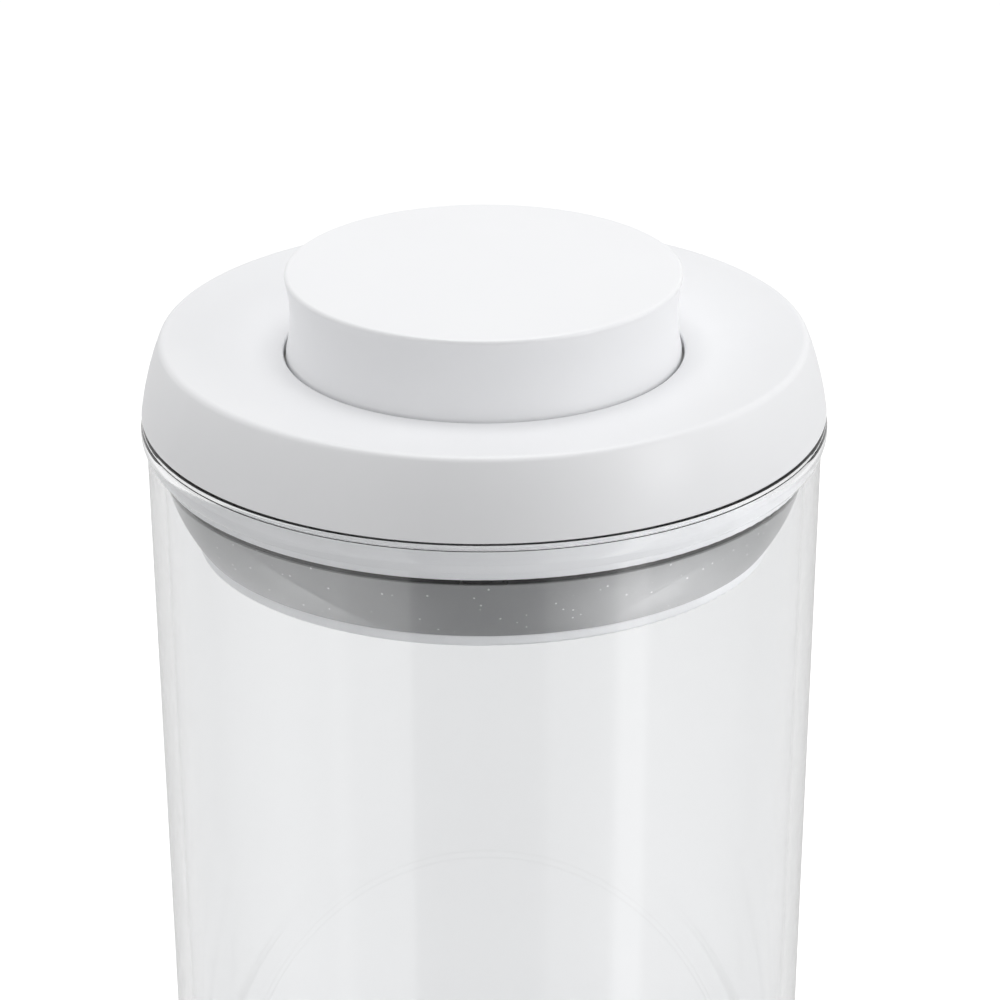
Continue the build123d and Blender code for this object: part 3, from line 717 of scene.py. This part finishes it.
# %% From a bmesh to a piece
def piece_from(shape, name, material):
    """An object in the scene with the mesh of a bmesh and one material."""
    mesh = bpy.data.meshes.new(name)
    shape.to_mesh(mesh)
    shape.free()
    mesh.materials.append(material)
    piece = bpy.data.objects.new(name, mesh)
    bpy.context.scene.collection.objects.link(piece)
    print(name, len(mesh.polygons), "faces")
    return piece


print("a bmesh can become a piece")

# %% [markdown]
# Turning makes one ring of points for each outline point. A point on the axis is a single
# point, which gives clean triangles in the middle. A part turn gets flat ends.

# %% Turning
SIDES = 256
TINY = 1e-9
SHARP_ANGLE = math.radians(32)


def turned(name, outline, material, first=0.0, sweep=math.tau, sides=SIDES):
    """A mesh made by turning an outline that is closed, or that starts and ends on the axis."""
    whole = abs(sweep - math.tau) < TINY
    columns = sides if whole else sides + 1
    angles = [first + sweep * k / sides for k in range(columns)]
    shape = bmesh.new()
    rings = []
    for radius, height in outline:
        if radius < TINY:
            rings.append([shape.verts.new((0, 0, height))])
            continue
        places = [(radius * math.cos(a), radius * math.sin(a), height) for a in angles]
        rings.append([shape.verts.new(place) for place in places])
    on_axis = len(rings[0]) == 1
    for number in range(len(rings) - (1 if on_axis else 0)):
        low, high = rings[number], rings[(number + 1) % len(rings)]
        for k in range(sides):
            follow = (k + 1) % columns
            low_corners = [low[k % len(low)], low[follow % len(low)]]
            high_corners = [high[follow % len(high)], high[k % len(high)]]
            corners_of_face = list(dict.fromkeys(low_corners + high_corners))
            if len(corners_of_face) > 2:
                shape.faces.new(corners_of_face)
    if not whole:
        shape.faces.new([ring[0] for ring in rings])
        shape.faces.new([ring[-1] for ring in reversed(rings)])
    bmesh.ops.recalc_face_normals(shape, faces=shape.faces)
    for face in shape.faces:
        face.smooth = len(face.verts) <= 4
    piece = piece_from(shape, name, material)
    piece.data.set_sharp_from_angle(angle=SHARP_ANGLE)
    return piece


print("turning with", SIDES, "sides")

# %% [markdown]
# ## The canister
# The clear body is drafted, so it slips off its mould: the wall leans by half a degree. A
# rolled rim carries the lid. A fine groove parts a small bead from the rim, as on the real
# one: through clear plastic a shallow dent would not show, but square sides turn the light
# away and draw a thin dark line. Refraction shows every facet, so this piece has the finest
# rings of all.

# %% Canister
RIM_RADIUS = 66.18 * MM
RIM_LAND = 65.6 * MM
RIM_HEIGHT = 5.6 * MM
RIM_BELLY = 2.7 * MM
RIM_EDGE = 0.68 * MM
BELLY_STEPS = 20
GROOVE_DROP = 0.88 * MM
GROOVE_WIDTH = 0.24 * MM
GROOVE_DEPTH = 0.34 * MM
WALL_TOP = 65.2 * MM
WALL = 3.0 * MM
DRAFT = math.tan(math.radians(0.5))
MOUTH_EDGE = 1.0 * MM
FLOOR_THICKNESS = 4.0 * MM
FLOOR_ROUND = 7.0 * MM
FOOT_RECESS = 1.2 * MM
FOOT_WIDTH = 7.0 * MM
FOOT_EDGE = 0.5 * MM
BASE_ROUND = 5.0 * MM
CLEAR_SIDES = 512
CLEAR_ARC_STEPS = 10


def wall_radius(height):
    """Outer radius of the drafted wall."""
    return WALL_TOP - (canister_top - height) * DRAFT


foot_inner = wall_radius(0) - BASE_ROUND - FOOT_WIDTH
floor_top = FOOT_RECESS + FLOOR_THICKNESS
rim_low = canister_top - RIM_HEIGHT
belly = arc_through(
    (wall_radius(rim_low), rim_low),
    (RIM_RADIUS, canister_top - RIM_BELLY),
    (RIM_LAND, canister_top),
    BELLY_STEPS,
)
groove = canister_top - GROOVE_DROP
groove_radius = min(belly, key=lambda point: abs(point[1] - groove))[0]
rim_groove = [
    (groove_radius, groove - GROOVE_WIDTH / 2),
    (groove_radius - GROOVE_DEPTH, groove - GROOVE_WIDTH / 2),
    (groove_radius - GROOVE_DEPTH, groove + GROOVE_WIDTH / 2),
    (groove_radius, groove + GROOVE_WIDTH / 2),
]
canister_outline = rounded(
    [
        (0, FOOT_RECESS),
        (foot_inner, FOOT_RECESS, FOOT_EDGE),
        (foot_inner + FOOT_RECESS, 0, FOOT_EDGE),
        (wall_radius(0), 0, BASE_ROUND),
        (wall_radius(rim_low), rim_low),
        *[point for point in belly[1:-1] if point[1] < groove - GROOVE_WIDTH],
        *rim_groove,
        (RIM_LAND, canister_top, RIM_EDGE),
        (wall_radius(canister_top) - WALL, canister_top, MOUTH_EDGE),
        (wall_radius(floor_top) - WALL, floor_top, FLOOR_ROUND),
        (0, floor_top),
    ],
    CLEAR_ARC_STEPS,
)
canister_body = turned("canister_body", canister_outline, clear_plastic, sides=CLEAR_SIDES)
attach(canister_body, "canister")
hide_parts("canister")

# %% [markdown]
# ## The lid cover
# The cover is a single white shell. Its flank bulges by half a millimetre, so it catches a
# broad soft highlight, and its top is a shallow dish that falls to the hole. The rings
# under the dish stop the button and snap over the lid base. The bows end inside the
# roundings of their corners, so the points there are left out.

# %% Lid cover
COVER_RADIUS = 66.0 * MM
COVER_THICKNESS = 1.9 * MM
COVER_FOOT_ROUND = 0.3 * MM
CREST = (61.9 * MM, cover_edge + 15.1 * MM)
CREST_ROUND = 1.4 * MM
CREST_WALL = 1.6 * MM
FLANK_BOW = 0.5 * MM
HOLE = (38.45 * MM, cover_edge + 11.75 * MM)
HOLE_ROUND = 0.5 * MM
HOLE_UNDER_ROUND = 0.3 * MM
DISH_BOW = -0.3 * MM
SKIRT_INNER = COVER_RADIUS - COVER_THICKNESS
LEDGE = 1.6 * MM
LEDGE_HEIGHT = 2.0 * MM
STOP_RING = (39.3 * MM, 41.3 * MM)
STOP_BOTTOM = cover_edge + 9.25 * MM
SNAP_RIB = (57.05 * MM, 58.65 * MM)
SNAP_RIB_BOTTOM = cover_edge + 2.3 * MM
COVER_BOW_STEPS = 24
FLANK_KEPT = slice(3, -4)
DISH_KEPT = slice(4, -3)
SHELL_ARC_STEPS = 8
inner_crest = (CREST[0] - CREST_WALL, CREST[1] - COVER_THICKNESS)
inner_hole = (HOLE[0], HOLE[1] - COVER_THICKNESS)
dish_slope = (inner_crest[1] - inner_hole[1]) / (inner_crest[0] - inner_hole[0])


def under_dish(radius):
    """Height of the dish's underside."""
    return inner_hole[1] + dish_slope * (radius - inner_hole[0])


flank = bowed((COVER_RADIUS, cover_edge), CREST, FLANK_BOW, COVER_BOW_STEPS)
dish = bowed(CREST, HOLE, DISH_BOW, COVER_BOW_STEPS)
cover_outline = rounded(
    [
        (SKIRT_INNER, cover_edge),
        (COVER_RADIUS, cover_edge, COVER_FOOT_ROUND),
        *flank[FLANK_KEPT],
        (*CREST, CREST_ROUND),
        *dish[DISH_KEPT],
        (*HOLE, HOLE_ROUND),
        (*inner_hole, HOLE_UNDER_ROUND),
        (STOP_RING[0], under_dish(STOP_RING[0])),
        (STOP_RING[0], STOP_BOTTOM),
        (STOP_RING[1], STOP_BOTTOM),
        (STOP_RING[1], under_dish(STOP_RING[1])),
        (SNAP_RIB[0], under_dish(SNAP_RIB[0])),
        (SNAP_RIB[0], SNAP_RIB_BOTTOM),
        (SNAP_RIB[1], SNAP_RIB_BOTTOM),
        (SNAP_RIB[1], under_dish(SNAP_RIB[1])),
        inner_crest,
        (SKIRT_INNER - LEDGE, cover_edge + LEDGE_HEIGHT),
        (SKIRT_INNER, cover_edge + LEDGE_HEIGHT),
    ],
    SHELL_ARC_STEPS,
)
cover_shell = turned("cover_shell", cover_outline, cover_white)
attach(cover_shell, "lid")
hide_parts("lid_cover")

# %% [markdown]
# ## The button
# The button is also the handle: fingers close round its waist and lift. So its side is a
# hollow curve, narrow a third of the way down, and its top edge is small and crisp. It is
# a shell too, and its inside follows the same curve one wall further in. Here also the
# curves stop where the corners' roundings begin.

# %% Button
BUTTON_TOP_RADIUS = 38.15 * MM
BUTTON_WAIST = (37.1 * MM, button_crown - 6.5 * MM)
BUTTON_FOOT_RADIUS = 37.95 * MM
BUTTON_WALL = 2.0 * MM
BUTTON_TOP = 2.4 * MM
BUTTON_EDGE = 0.7 * MM
BUTTON_SIDE_STEPS = 32
HOLLOW_KEPT = slice(1, -2)
INNER_HOLLOW_KEPT = slice(0, -6)
hollow = arc_through(
    (BUTTON_FOOT_RADIUS, HOLE[1]),
    BUTTON_WAIST,
    (BUTTON_TOP_RADIUS, button_crown),
    BUTTON_SIDE_STEPS,
)
inner_hollow = [(radius - BUTTON_WALL, height) for radius, height in hollow]
ceiling = button_crown - BUTTON_TOP
button_outline = rounded(
    [
        (0, button_crown),
        (BUTTON_TOP_RADIUS, button_crown, BUTTON_EDGE),
        *reversed(hollow[HOLLOW_KEPT]),
        (BUTTON_FOOT_RADIUS, HOLE[1]),
        (BUTTON_FOOT_RADIUS, button_foot),
        (BUTTON_FOOT_RADIUS - BUTTON_WALL, button_foot),
        *inner_hollow[INNER_HOLLOW_KEPT],
        (BUTTON_TOP_RADIUS - BUTTON_WALL, ceiling),
        (0, ceiling),
    ],
    SHELL_ARC_STEPS,
)
push_button = turned("push_button", button_outline, button_white)
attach(push_button, "button")
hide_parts("button")

# %% [markdown]
# Under the top, three bosses take the screws of the wedge ring. They are hidden, but the
# button without them would be a thin cup. They could be joined to the shell with a Boolean,
# but small pieces that end at the underside of the top are simpler and look the same.

# %% Bosses of the button
BOSS_COUNT = 3
BOSS_CIRCLE = 29.1 * MM
BOSS_OUTER = 3.2 * MM
BOSS_BORE = 1.6 * MM
BOSS_EDGE = 0.2 * MM
BOSS_TURN = 30
BOSS_SIDES = 32
BOSS_ARC_STEPS = 3
boss_outline = rounded(
    [
        (BOSS_BORE, button_foot, BOSS_EDGE),
        (BOSS_OUTER, button_foot, BOSS_EDGE),
        (BOSS_OUTER, ceiling),
        (BOSS_BORE, ceiling),
    ],
    BOSS_ARC_STEPS,
)
for number in range(BOSS_COUNT):
    turn = math.radians(BOSS_TURN + 360 / BOSS_COUNT * number)
    boss = turned(f"button_boss_{number + 1}", boss_outline, button_white, sides=BOSS_SIDES)
    boss_place = (BOSS_CIRCLE * math.cos(turn), BOSS_CIRCLE * math.sin(turn), 0)
    boss.data.transform(Matrix.Translation(boss_place))
    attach(boss, "button")

# %% [markdown]
# Six ribs stiffen the top. Each is a unit cube, stretched to a bar, moved out and turned
# into place. An Array modifier round an Empty could repeat one rib, but a loop needs no
# second object. They sink a little into the top, so that no gap can open there, and a
# narrow bevel takes the sharpness off their edges.

# %% Ribs of the button
RIB_COUNT = 6
RIB_START = 6.4 * MM
RIB_END = BUTTON_TOP_RADIUS - BUTTON_WALL
RIB_WIDTH = 1.4 * MM
RIB_HEIGHT = 4.0 * MM
RIB_SINK = 0.5 * MM
RIB_EDGE = 0.25 * MM
rib_size = Matrix.Diagonal((RIB_END - RIB_START, RIB_WIDTH, RIB_HEIGHT + RIB_SINK, 1))
rib_place = Matrix.Translation(
    ((RIB_START + RIB_END) / 2, 0, ceiling - RIB_HEIGHT / 2 + RIB_SINK / 2)
)
rib_shape = bmesh.new()
for number in range(RIB_COUNT):
    turn = Matrix.Rotation(math.tau * number / RIB_COUNT, 4, "Z")
    box = bmesh.ops.create_cube(rib_shape, size=1.0)["verts"]
    bmesh.ops.transform(rib_shape, matrix=turn @ rib_place @ rib_size, verts=box)
bmesh.ops.bevel(rib_shape, geom=rib_shape.edges[:], offset=RIB_EDGE, segments=2, affect="EDGES")
ribs = piece_from(rib_shape, "button_ribs", button_white)
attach(ribs, "button")

# %% [markdown]
# ## The gasket
# The seal is a silicone sleeve that leans in towards a flange at its foot. When the button
# goes down, six shoes push the sleeve out, and its lip closes on the canister. One ring
# cannot follow six shoes, so it is made in twelve short arcs. Neighbours share both end
# sections, so the ring stays closed.

# %% Gasket
SHOES = 6
SHOE_STEP = 360 / SHOES
GASKET_LIP_RADIUS = 61.4 * MM
GASKET_FOOT_RADIUS = 56.2 * MM
GASKET_BORE = 48.5 * MM
GASKET_BOW = 0.7 * MM
GASKET_WALL = 2.0 * MM
GASKET_FLANGE = 1.5 * MM
GASKET_BEVEL = 2.0 * MM
GASKET_LIP = 0.45 * MM
GASKET_LIP_DROP = 0.15 * MM
GASKET_LIP_ROUND = 0.12 * MM
GASKET_FOOT_ROUND = 0.35 * MM
GASKET_INNER_ROUND = 0.3 * MM
GASKET_BORE_ROUND = 0.2 * MM
ARC_SIDES = 48

sleeve_top = gasket_lip - GASKET_LIP_DROP
sleeve = bowed((GASKET_FOOT_RADIUS, gasket_foot), (GASKET_LIP_RADIUS, sleeve_top), GASKET_BOW)
flange_top = gasket_foot + GASKET_FLANGE
gasket_outline = rounded(
    [
        (GASKET_FOOT_RADIUS, gasket_foot, GASKET_FOOT_ROUND),
        *sleeve[1:-1],
        (GASKET_LIP_RADIUS, sleeve_top, GASKET_LIP_ROUND),
        (GASKET_LIP_RADIUS - GASKET_LIP, sleeve_top),
        (GASKET_LIP_RADIUS - GASKET_WALL, gasket_lip - GASKET_BEVEL, GASKET_INNER_ROUND),
        (GASKET_FOOT_RADIUS - GASKET_WALL, flange_top, GASKET_FOOT_ROUND),
        (GASKET_BORE, flange_top, GASKET_BORE_ROUND),
        (GASKET_BORE, gasket_foot, GASKET_BORE_ROUND),
    ]
)


gasket_arcs = []
for number in range(SHOES):
    middle = number * SHOE_STEP
    for side in (-1, 1):
        arc = turned(
            f"gasket_arc_{len(gasket_arcs) + 1}",
            gasket_outline,
            grey_silicone,
            first=math.radians(middle),
            sweep=math.radians(side * SHOE_STEP / 2),
            sides=ARC_SIDES,
        )
        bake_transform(arc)
        gasket_arcs.append(arc)
for arc in gasket_arcs:
    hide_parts("gasket")

# %% [markdown]
# The low cards would also draw hard streaks on the clear wall and on the white neck above
# the gasket, where the real lid has none. Light linking gives a lamp a collection, and the
# lamp then lights only what is in it. Here that is the twelve arcs.

# %% The low cards light the gasket alone
gasket_alone = bpy.data.collections.new("gasket_alone")
for arc in gasket_arcs:
    gasket_alone.objects.link(arc)
for low_card in low_cards:
    low_card.light_linking.receiver_collection = gasket_alone

# %% [markdown]
# ## The return spring
# Spring wire is drawn round and wound on a mandrel, with a closed coil at each end so that
# it stands square. The wire's centre follows one formula: the turn gives the angle, and the
# height grows slowly in the end coils and faster between them. A Screw modifier would give
# one even pitch, and the closed ends would be missing.

# %% The wire's path
SPRING_RADIUS = 9.0 * MM
SPRING_WIRE = 1.4 * MM
SPRING_TURNS = 8
SPRING_CLOSED_PITCH = 1.9 * MM
END_COIL = 0.5
OPEN_TURNS = SPRING_TURNS - 2 * END_COIL - 1

spring_low, spring_high = (corner.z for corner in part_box("return_spring"))
wire_half = SPRING_WIRE / 2
wire_climb = spring_high - spring_low - SPRING_WIRE
open_extra = (wire_climb - SPRING_TURNS * SPRING_CLOSED_PITCH) / OPEN_TURNS


def opened(turn):
    """Turns of open pitch passed, ramped over the first and the last open turn."""
    if turn > SPRING_TURNS / 2:
        return OPEN_TURNS - opened(SPRING_TURNS - turn)
    ramp = min(max(turn - END_COIL, 0), 1)
    return ramp * ramp / 2 + max(turn - END_COIL - 1, 0)


def wire_centre(turn):
    """Centre of the wire after a number of turns."""
    angle = math.tau * turn
    height = spring_low + wire_half + SPRING_CLOSED_PITCH * turn + open_extra * opened(turn)
    return Vector((SPRING_RADIUS * math.cos(angle), SPRING_RADIUS * math.sin(angle), height))


print("spring", SPRING_TURNS, "turns, height", round(spring_high - spring_low, 4))

# %% [markdown]
# Round the path, a ring of points stands square to the wire at every step. Each ring is set
# by the spring's own axis, so the rings do not twist.

# %% Return spring
TURN_STEPS = 48
WIRE_SIDES = 16
TANGENT_STEP = 0.01

coil = bmesh.new()
rings = []
spokes = [math.tau * k / WIRE_SIDES for k in range(WIRE_SIDES)]
for step in range(SPRING_TURNS * TURN_STEPS + 1):
    turn = step / TURN_STEPS
    centre = wire_centre(turn)
    along = (wire_centre(turn + TANGENT_STEP) - wire_centre(turn - TANGENT_STEP)).normalized()
    outwards = Vector((centre.x, centre.y, 0)).normalized()
    upwards = along.cross(outwards).normalized()
    rings.append([
        coil.verts.new(centre + (outwards * math.cos(a) + upwards * math.sin(a)) * wire_half)
        for a in spokes
    ])
for low, high in zip(rings, rings[1:]):
    for k in range(WIRE_SIDES):
        follow = (k + 1) % WIRE_SIDES
        coil.faces.new((low[k], low[follow], high[follow], high[k]))
coil.faces.new(rings[0])
coil.faces.new(rings[-1])
bmesh.ops.recalc_face_normals(coil, faces=coil.faces)
for face in coil.faces:
    face.smooth = len(face.verts) == 4
coil_spring = piece_from(coil, "coil_spring", spring_steel)
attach(coil_spring, "lid")
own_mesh(coil_spring)
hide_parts("return_spring")

# %% [markdown]
# ## Finishes of the pieces that keep their CAD mesh
# The inner parts have the right shape already. Only their material changes: it goes into
# each object's slots, and nothing is moved.

# %% Finishes of the inner parts
INNER_FINISHES = {
    "lid_base": inner_white_with_painted_light,
    "bottom_plate": inner_white_with_painted_light,
    "guide_ring": black_plastic,
    "wedge_ring": natural_acetal,
    "heart_cam": natural_acetal,
    "latch_wire": spring_steel,
    "latch_bracket": inner_white_with_painted_light,
    "spring_washer": plated_steel,
    "base_screws": plated_steel,
    "button_screws": plated_steel,
}
for number in range(SHOES):
    INNER_FINISHES[f"expander_shoe_{number + 1}"] = black_plastic
for node, finish in INNER_FINISHES.items():
    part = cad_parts[node]
    if not part.material_slots:
        part.data.materials.append(finish)
    for slot in part.material_slots:
        slot.material = finish
print("inner parts", len(INNER_FINISHES))
